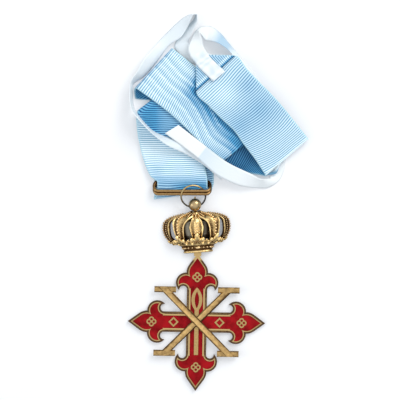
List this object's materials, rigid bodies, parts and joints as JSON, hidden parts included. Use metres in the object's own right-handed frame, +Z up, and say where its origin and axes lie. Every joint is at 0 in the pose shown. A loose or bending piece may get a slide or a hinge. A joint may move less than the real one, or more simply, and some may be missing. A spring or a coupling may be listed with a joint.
{
  "type": "neck order badge on a folded ribbon",
  "caption": "Red enamelled cross fleury with a gilt saltire and crown, hung by ring and wire loop from a folded pale blue ribbed neck ribbon with white tie tapes, lying flat.",
  "frame": {"origin": "middle of the whole badge's outline, on the surface it lies on", "axes": "+X to the right as the badge is seen from above, +Y from the cross towards the ribbon, +Z up from the surface"},
  "size_m": [0.0796, 0.1662, 0.0104],
  "materials": {
    "gilt": "antique gilt with dark patina in the hollows",
    "saltire_gilt": "satin gilt",
    "crown_gilt": "antique gilt",
    "pale_gilt": "worn satin gilt",
    "copper_gilt": "darkened gilt",
    "red_enamel": "glossy",
    "blue_ribbon": "ribbed silk",
    "white_tape": "satin"
  },
  "bodies": {
    "root": {"cross": "gilt", "enamel": "red_enamel", "staff": "saltire_gilt", "rosette_top": "saltire_gilt", "rosette_left": "saltire_gilt", "rosette_right": "saltire_gilt", "rosette_bottom": "saltire_gilt", "lozenge_left": "saltire_gilt", "lozenge_right": "saltire_gilt", "saltire": "saltire_gilt", "crown": "crown_gilt", "crown_ball": "pale_gilt", "jump_ring": "pale_gilt", "ribbon_loop": "copper_gilt", "ribbon": "blue_ribbon", "tie_tape_long": "white_tape", "tie_tape_short": "white_tape"}
  },
  "joints": []
}
